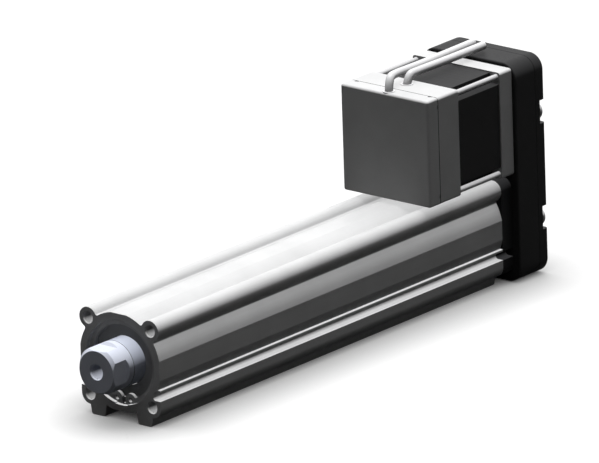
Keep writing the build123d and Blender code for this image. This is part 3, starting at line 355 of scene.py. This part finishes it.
class Bench:
    """Modelling steps that every new piece shares."""

    @staticmethod
    def start(name: str) -> bpy.types.Object:
        """Names the primitive that was just added."""
        piece = bpy.context.object
        piece.name = name
        piece.data.name = name
        return piece

    @staticmethod
    def apply_modifiers(piece: bpy.types.Object) -> None:
        """Applies a piece's modifiers in order."""
        bpy.context.view_layer.objects.active = piece
        for modifier in list(piece.modifiers):
            bpy.ops.object.modifier_apply(modifier=modifier.name)

    @staticmethod
    def settle(piece: bpy.types.Object, place: Matrix) -> bpy.types.Object:
        """Puts a piece's place into its mesh, so that its object stays at the origin.

        Args:
            piece: The piece, modelled at the origin.
            place: Where it goes.

        Returns:
            The piece.
        """
        piece.matrix_world = place
        bpy.ops.object.select_all(action="DESELECT")
        piece.select_set(True)
        bpy.context.view_layer.objects.active = piece
        bpy.ops.object.transform_apply(location=True, rotation=True, scale=True)
        bpy.ops.object.shade_smooth_by_angle(angle=SMOOTH_ANGLE)
        return piece

    @staticmethod
    def close(piece: bpy.types.Object) -> None:
        """Closes a mesh's open ends, joins its doubles and turns its faces outwards."""
        bpy.context.view_layer.objects.active = piece
        bpy.ops.object.mode_set(mode="EDIT")
        bpy.ops.mesh.select_all(action="SELECT")
        bpy.ops.mesh.remove_doubles(threshold=DOUBLES_APART)
        bpy.ops.mesh.fill_holes(sides=0)
        bpy.ops.mesh.select_all(action="SELECT")
        bpy.ops.mesh.normals_make_consistent(inside=False)
        bpy.ops.object.mode_set(mode="OBJECT")


@dataclass
class TappedHole:
    """Thread that stands in a hole drawn at the thread's own size.

    Attributes:
        name: Name of the piece.
        mouth: Middle of the hole's mouth, in metres.
        axis: Direction out of the hole.
        radius: Radius of the hole.
        pitch: Rise of one turn.
        depth: Length of the thread.
        body: Body that it rides on.
        slot: Material slot.
        lead_in: Length without thread at the mouth and at the bottom.
        root: How far the thread's foot reaches into the wall.
        steps: Number of faces round one turn.
        ridge: Height of the thread, as a share of the pitch.
        flank: Half its width at the foot, as a share of the pitch.
    """

    name: str
    mouth: Vector
    axis: Vector
    radius: float
    pitch: float
    depth: float
    body: Body = Body.ACTUATOR
    slot: str = "tube_aluminium"
    lead_in: float = 0.45 * MM
    root: float = 0.03 * MM
    steps: int = 28
    ridge: float = 0.54
    flank: float = 0.44

    def build(self, finishes: Finishes) -> bpy.types.Object:
        """Winds a pointed ridge down the hole's wall.

        Args:
            finishes: The materials.

        Returns:
            The piece.
        """
        turns = int((self.depth - 2 * self.lead_in) / self.pitch)
        bpy.ops.object.select_all(action="DESELECT")
        bpy.ops.mesh.primitive_circle_add(vertices=3, radius=1.0, fill_type="NOTHING")
        thread = Bench.start(self.name)
        crest = self.radius - self.ridge * self.pitch
        wall = self.radius + self.root
        half = self.flank * self.pitch
        for vertex, (radius, rise) in zip(thread.data.vertices, ((crest, 0.0), (wall, half), (wall, -half))):
            vertex.co = (radius, 0.0, rise)
        winding = thread.modifiers.new("winding", "SCREW")
        winding.axis = "Z"
        winding.angle = math.tau * turns
        winding.screw_offset = self.pitch * turns
        winding.steps = self.steps * turns
        winding.render_steps = self.steps * turns
        Bench.apply_modifiers(thread)
        Bench.close(thread)
        bottom = self.mouth - self.axis * (self.lead_in + self.pitch * (turns + 0.5))
        turn = Vector((0, 0, 1)).rotation_difference(self.axis).to_matrix().to_4x4()
        Bench.settle(thread, Matrix.Translation(bottom) @ turn)
        return finishes.place(thread, self.slot, self.body)


@dataclass
class Tapping:
    """All tapped holes of the tube and the rod's socket, in metres.

    Attributes:
        spacing: Side of the square that the front holes stand on.
        hole_radius: Radius of the tube's holes.
        pitch: Rise of one turn of their threads.
        front_depth: Length of the threads in the front face.
        base_depth: Length of the threads in the foot rails.
        base_height: Height of the foot rails' underside.
        base_places: Places of the base holes along X.
        foot_pitch: Distance between the two rows of base holes.
        socket_tip: Place of the socket's front face along X.
        socket_radius: Radius of the socket's hole.
        socket_pitch: Rise of one turn of its thread.
        socket_depth: Length of its thread.
    """

    spacing: float = 40 * MM
    hole_radius: float = 3.0 * MM
    pitch: float = 1.0 * MM
    front_depth: float = 12 * MM
    base_depth: float = 8.5 * MM
    base_height: float = -30.5 * MM
    base_places: tuple[float, float] = (-25 * MM, -105 * MM)
    foot_pitch: float = 30 * MM
    socket_tip: float = 18.5 * MM
    socket_radius: float = 4.0 * MM
    socket_pitch: float = 1.25 * MM
    socket_depth: float = 13 * MM

    def build(self, finishes: Finishes) -> None:
        """Makes the thread of every tapped hole.

        Args:
            finishes: The materials.
        """
        half = self.spacing / 2
        forwards = Vector((1, 0, 0))
        for index, (y, z) in enumerate(((-half, -half), (-half, half), (half, -half), (half, half)), 1):
            TappedHole(f"front_thread_{index}", Vector((0, y, z)), forwards, self.hole_radius, self.pitch,
                       self.front_depth).build(finishes)
        places = [(x, side * self.foot_pitch / 2) for x in self.base_places for side in (-1, 1)]
        for index, (x, y) in enumerate(places, 1):
            TappedHole(f"base_thread_{index}", Vector((x, y, self.base_height)), Vector((0, 0, -1)),
                       self.hole_radius, self.pitch, self.base_depth).build(finishes)
        TappedHole("socket_thread", Vector((self.socket_tip, 0, 0)), forwards, self.socket_radius,
                   self.socket_pitch, self.socket_depth, Body.ROD, "socket_steel").build(finishes)


@dataclass
class SeamBead:
    """Dark sealing bead that shows in the groove between two blocks of one square outline.

    Attributes:
        name: Name of the piece.
        seam: Place of the seam along X.
        middle: Height of the outline's middle.
        width: Width of the outline.
        height: Height of the outline.
        corner: Radius of its corners.
        groove: Depth of the groove, which is also half its width.
        clearance: Distance of the bead from the outline.
        corner_steps: Number of faces round one corner.
        bottom: Share of its width that the bead keeps at the groove's bottom.
    """

    name: str
    seam: float
    middle: float
    width: float
    height: float
    corner: float
    groove: float = 0.25 * MM
    clearance: float = 0.02 * MM
    corner_steps: int = 6
    bottom: float = 0.1

    def build(self, finishes: Finishes) -> bpy.types.Object:
        """Draws a flat ring, thickens it to the groove's width and narrows it towards the groove's bottom.

        Args:
            finishes: The materials.

        Returns:
            The piece.
        """
        size = (self.width - 2 * self.clearance, self.height - 2 * self.clearance)
        depth = self.groove - 2 * self.clearance
        bpy.ops.object.select_all(action="DESELECT")
        bpy.ops.mesh.primitive_plane_add(size=1.0, rotation=(0, math.pi / 2, 0))
        bead = Bench.start(self.name)
        bpy.ops.object.transform_apply(location=False, rotation=True, scale=False)
        bpy.ops.object.mode_set(mode="EDIT")
        bpy.ops.transform.resize(value=(1.0, *size))
        radius = self.corner - self.clearance
        bpy.ops.mesh.bevel(offset=radius, segments=self.corner_steps, affect="VERTICES")
        bpy.ops.mesh.select_all(action="SELECT")
        bpy.ops.mesh.inset(thickness=depth)
        bpy.ops.mesh.delete(type="FACE")
        bpy.ops.mesh.select_all(action="DESELECT")
        bpy.ops.object.mode_set(mode="OBJECT")
        thickness = bead.modifiers.new("thickness", "SOLIDIFY")
        thickness.thickness = 2 * depth
        thickness.offset = 0.0
        Bench.apply_modifiers(bead)
        for vertex in bead.data.vertices:
            if self._inner(vertex.co, size, depth):
                vertex.co.x *= self.bottom
        Bench.close(bead)
        Bench.settle(bead, Matrix.Translation(Vector((self.seam, 0, self.middle))))
        return finishes.place(bead, "gasket_fibre", Body.ACTUATOR)

    @staticmethod
    def _inner(place: Vector, size: tuple[float, float], depth: float) -> bool:
        """Tells whether a vertex lies away from the outline's straight sides.

        Args:
            place: The vertex.
            size: Width and height of the bead's outline.
            depth: Distance of the inner side from the outline.

        Returns:
            True for the inner side and for the rounded corners, where the bead is thin throughout.
        """
        return abs(place.y) < (size[0] - depth) / 2 and abs(place.z) < (size[1] - depth) / 2


@dataclass
class JointRing:
    """Thin ring of thread sealant that shows where the socket is screwed into the rod.

    Attributes:
        joint: Place of the joint along X.
        radius: Radius of the rod.
        wire: Radius of the ring's section.
        sunk: How deep the section's middle lies under the rod's surface.
        steps: Number of faces round the rod.
        section_steps: Number of faces round the section.
    """

    joint: float = 3.9 * MM
    radius: float = 12.5 * MM
    wire: float = 0.20 * MM
    sunk: float = 0.13 * MM
    steps: int = 96
    section_steps: int = 10

    def build(self, finishes: Finishes) -> bpy.types.Object:
        """Lays the ring round the rod's end.

        Args:
            finishes: The materials.

        Returns:
            The piece.
        """
        bpy.ops.object.select_all(action="DESELECT")
        bpy.ops.mesh.primitive_torus_add(major_segments=self.steps, minor_segments=self.section_steps,
                                         major_radius=self.radius - self.sunk, minor_radius=self.wire,
                                         rotation=(0, math.pi / 2, 0))
        ring = Bench.start("socket_joint_ring")
        bpy.ops.object.transform_apply(location=False, rotation=True, scale=False)
        Bench.settle(ring, Matrix.Translation(Vector((self.joint, 0, 0))))
        return finishes.place(ring, "gasket_fibre", Body.ROD)


@dataclass
class Lead:
    """One of the two leads that leave the motor's top and lie back over the return box.

    Attributes:
        name: Name of the piece, which is also its CAD node's.
        route: Points that steer its line, in millimetres.
        length: Its length, in metres; not used.
        exit_height: Height at which it leaves the motor, in millimetres; not used.
        radius: Radius of the sheath.
        core_radius: Radius of one wire.
        core_ring: Radius of the ring that the outer wires lie on.
        core_length: Length of the wires.
        core_reach: How far they stand out of the sheath.
        core_rounding: Radius of their rounded ends.
        core_sides: Number of faces round one wire.
        core_count: Number of outer wires, beside the middle one.
    """

    name: str
    route: list[Point]
    length: float
    exit_height: float = 84.45
    radius: float = 2.15 * MM
    core_radius: float = 0.42 * MM
    core_ring: float = 1.05 * MM
    core_length: float = 2.4 * MM
    core_reach: float = 0.35 * MM
    core_rounding: float = 0.08 * MM
    core_sides: int = 16
    core_count: int = 6

    def _line(self) -> bpy.types.Object:
        """Makes the sheath as one smooth round curve.

        Returns:
            The curve.
        """
        curve = bpy.data.curves.new(f"{self.name}_sheath", "CURVE")
        curve.dimensions = "3D"
        curve.bevel_depth = self.radius
        curve.bevel_resolution = 8
        curve.resolution_u = 24
        curve.use_fill_caps = True
        spline = curve.splines.new("NURBS")
        spline.points.add(len(self.route) - 1)
        for point, place in zip(spline.points, self.route):
            point.co = (*(Vector(place) * MM), 1.0)
        spline.order_u = 3
        spline.use_endpoint_u = True
        sheath = bpy.data.objects.new(f"{self.name}_sheath", curve)
        bpy.context.scene.collection.objects.link(sheath)
        return sheath

    def _cores(self) -> bpy.types.Object:
        """Makes the wires that show in the sheath's cut end.

        Returns:
            The wires as one piece.
        """
        end, before = (Vector(place) * MM for place in (self.route[-1], self.route[-2]))
        along = (end - before).normalized()
        turn = Vector((0, 0, 1)).rotation_difference(along).to_matrix().to_4x4()
        places = [Vector((0, 0, 0))]
        for index in range(self.core_count):
            angle = math.tau * index / self.core_count
            places.append(Vector((math.cos(angle), math.sin(angle), 0)) * self.core_ring)
        wires = []
        for place in places:
            bpy.ops.object.select_all(action="DESELECT")
            bpy.ops.mesh.primitive_cylinder_add(vertices=self.core_sides, radius=self.core_radius,
                                                depth=self.core_length, location=place)
            wires.append(Bench.start(f"{self.name}_cores"))
            rounding = wires[-1].modifiers.new("rounding", "BEVEL")
            rounding.width = self.core_rounding
            rounding.segments = 2
            Bench.apply_modifiers(wires[-1])
        bpy.ops.object.select_all(action="DESELECT")
        for wire in wires:
            wire.select_set(True)
        bpy.context.view_layer.objects.active = wires[0]
        bpy.ops.object.join()
        cores = Bench.start(f"{self.name}_cores")
        bpy.ops.object.transform_apply(location=True, rotation=True, scale=True)
        middle = end + along * (self.core_reach - self.core_length / 2)
        return Bench.settle(cores, Matrix.Translation(middle) @ turn)

    def build(self, finishes: Finishes) -> None:
        """Args:
            finishes: The materials.
        """
        sheath = finishes.place(self._line(), "lead_sheath", Body.ACTUATOR)
        cores = finishes.place(self._cores(), "bush_bronze", Body.ACTUATOR)
        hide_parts(self.name)


LEADS = (
    Lead("cable_front", route=[
        (-216.27, 0.5, 79.6),
        (-216.27, 0.5, 91.3),
        (-226.0, -3.3, 90.5),
        (-240.0, -3.9, 89.8),
        (-260.0, -3.3, 90.0),
        (-288.7, -2.8, 90.6),
    ], length=0.0833),
    Lead("cable_rear", route=[
        (-230.77, 0.5, 79.6),
        (-230.77, 0.5, 89.0),
        (-240.0, 0.75, 89.2),
        (-254.0, 1.1, 89.1),
        (-272.0, 1.5, 89.1),
        (-291.0, 1.9, 89.3),
    ], length=0.0674),
)

SEAM_BEADS = (
    SeamBead("cap_seam_bead", seam=-221.17 * MM, middle=MOTOR_AXIS_HEIGHT, width=56.4 * MM, height=56.4 * MM,
             corner=1.5 * MM),
    SeamBead("housing_seam_bead", seam=-297.17 * MM, middle=28.125 * MM, width=60.0 * MM, height=116.25 * MM,
             corner=8.0 * MM),
)


@dataclass(frozen=True)
class Lamp:
    """One lamp far overhead.

    Attributes:
        name: Its name.
        energy: Its light on a face turned to it.
        spread: Its width as seen from the object, in degrees.
        tilt: How far it leans about X and Y, in degrees.
        shadows: Whether it casts shadows.
    """

    name: str
    energy: float
    spread: float
    tilt: tuple[float, float]
    shadows: bool

    def hang(self) -> None:
        """Hangs the lamp, whose light no face throws on to another."""
        data = bpy.data.lights.new(self.name, "SUN")
        data.energy = self.energy
        data.angle = math.radians(self.spread)
        data.use_shadow = self.shadows
        data.cycles.max_bounces = 0
        lamp = bpy.data.objects.new(self.name, data)
        lamp.rotation_euler = (math.radians(self.tilt[0]), math.radians(self.tilt[1]), 0)
        bpy.context.scene.collection.objects.link(lamp)


@dataclass
class Studio:
    """Camera, floor and soft lamps.

    Attributes:
        azimuth: Where the camera stands round the object, in degrees.
        elevation: Its height above the horizon, in degrees.
        roll: Its turn about its own line of sight, in degrees.
        aim: How far its line of sight passes from the origin, to the right and up, in metres.
        distance: How far back it stands, in metres.
        lens: Its focal length, in millimetres.
        sensor: Width of its picture, in millimetres.
        clip: Nearest and farthest that it sees, in metres.
        floor_height: Height of the floor, which the feet stand on.
        floor_size: Side of the floor, in metres.
        floor_colour: Lightness of the floor as the camera sees it.
        floor_bounce: Lightness that it has for the object.
        world_light: Strength of the backdrop as light.
        contact_reach: How near the floor has to be to something to lie in its painted contact shadow.
        contact_depth: How fast that painted shadow darkens.
        contact_samples: Number of samples that it is measured with.
        lamps_overhead: The lamps.
    """

    azimuth: float = 129.701
    elevation: float = 17.961
    roll: float = -1.809
    aim: tuple[float, float] = (0.08928, 0.06515)
    distance: float = 9.850
    lens: float = 1190.0
    sensor: float = 36.0
    clip: tuple[float, float] = (0.1, 60.0)
    floor_height: float = -30.5 * MM
    floor_size: float = 40.0
    floor_colour: float = 0.86
    floor_bounce: float = 0.025
    world_light: float = 0.055
    contact_reach: float = 38 * MM
    contact_depth: float = 0.95
    contact_samples: int = 16
    lamps_overhead: tuple[Lamp, ...] = (
        Lamp("key", energy=2.85, spread=3.0, tilt=(6.0, -6.0), shadows=False),
        Lamp("soft_box", energy=1.10, spread=60.0, tilt=(3.0, -8.0), shadows=True),
    )

    def camera(self) -> None:
        """Stands the camera at the photograph's angle."""
        azimuth, elevation, roll = map(math.radians, (self.azimuth, self.elevation, self.roll))
        back = Vector((math.sin(azimuth) * math.cos(elevation), -math.cos(azimuth) * math.cos(elevation),
                       math.sin(elevation)))
        level = Vector((math.cos(azimuth), math.sin(azimuth), 0))
        upright = back.cross(level)
        right = math.cos(roll) * level + math.sin(roll) * upright
        up = back.cross(right)
        data = bpy.data.cameras.new("camera")
        data.lens = self.lens
        data.sensor_width = self.sensor
        data.clip_start, data.clip_end = self.clip
        camera = bpy.data.objects.new("camera", data)
        bpy.context.scene.collection.objects.link(camera)
        place = right * self.aim[0] + up * self.aim[1] + back * self.distance
        camera.matrix_world = Matrix.Translation(place) @ Matrix((right, up, back)).transposed().to_4x4()
        bpy.context.scene.camera = camera

    @staticmethod
    def _seen(board: NodeBoard) -> bpy.types.NodeSocket:
        """Socket that is 1 for what the camera sees directly, in a mirror or through glass."""
        rays = board.add("ShaderNodeLightPath").outputs
        direct = board.math("MAXIMUM", rays["Is Camera Ray"], rays["Is Glossy Ray"])
        return board.math("MAXIMUM", direct, rays["Is Transmission Ray"])

    def floor(self) -> None:
        """Lays the pale floor, which throws little light back at the object and carries a painted contact
        shadow near it.
        """
        bpy.ops.object.select_all(action="DESELECT")
        bpy.ops.mesh.primitive_plane_add(size=self.floor_size, location=(0, 0, self.floor_height))
        floor = Bench.start("floor")
        material = bpy.data.materials.new("floor")
        material.use_nodes = True
        board = NodeBoard(material.node_tree)
        extra = board.math("MULTIPLY", self._seen(board), self.floor_colour - self.floor_bounce)
        bare = board.math("ADD", extra, self.floor_bounce)
        # Painted contact shadow: an ambient occlusion node darkens the floor's colour near the object.
        open_sky = board.add("ShaderNodeAmbientOcclusion", {"Distance": self.contact_reach},
                             samples=self.contact_samples).outputs["AO"]
        shade = board.math("MULTIPLY", bare, board.math("POWER", open_sky, self.contact_depth))
        colour = board.add("ShaderNodeCombineColor", {"Red": shade, "Green": shade, "Blue": shade}).outputs[0]
        surface = board.add("ShaderNodeBsdfDiffuse", {"Color": colour}).outputs[0]
        board.add("ShaderNodeOutputMaterial", {"Surface": surface})
        floor.data.materials.append(material)

    def world(self) -> None:
        """Surrounds the object with a white backdrop that lights it only a little."""
        world = bpy.data.worlds.new("studio")
        world.use_nodes = True
        bpy.context.scene.world = world
        board = NodeBoard(world.node_tree)
        strength = board.math("ADD", board.math("MULTIPLY", self._seen(board), 1 - self.world_light),
                              self.world_light)
        backdrop = board.add("ShaderNodeBackground", {"Color": (1, 1, 1, 1), "Strength": strength}).outputs[0]
        board.add("ShaderNodeOutputWorld", {"Surface": backdrop})

    def lamps(self) -> None:
        """Hangs the lamps overhead."""
        for lamp in self.lamps_overhead:
            lamp.hang()

    def build(self) -> None:
        """Sets up the whole studio."""
        self.camera()
        self.floor()
        self.world()
        self.lamps()
        bpy.context.scene.view_settings.view_transform = "Standard"
        LOG.info("the studio stands")


def main() -> None:
    """Builds the studio, the leads, the finishes and the small pieces in order."""
    logging.basicConfig(level=logging.INFO)
    Studio().build()
    finishes = Finishes()
    finishes.dress_cad()
    for lead in LEADS:
        lead.build(finishes)
    Tapping().build(finishes)
    JointRing().build(finishes)
    for bead in SEAM_BEADS:
        bead.build(finishes)


if __name__ == "__main__":
    main()
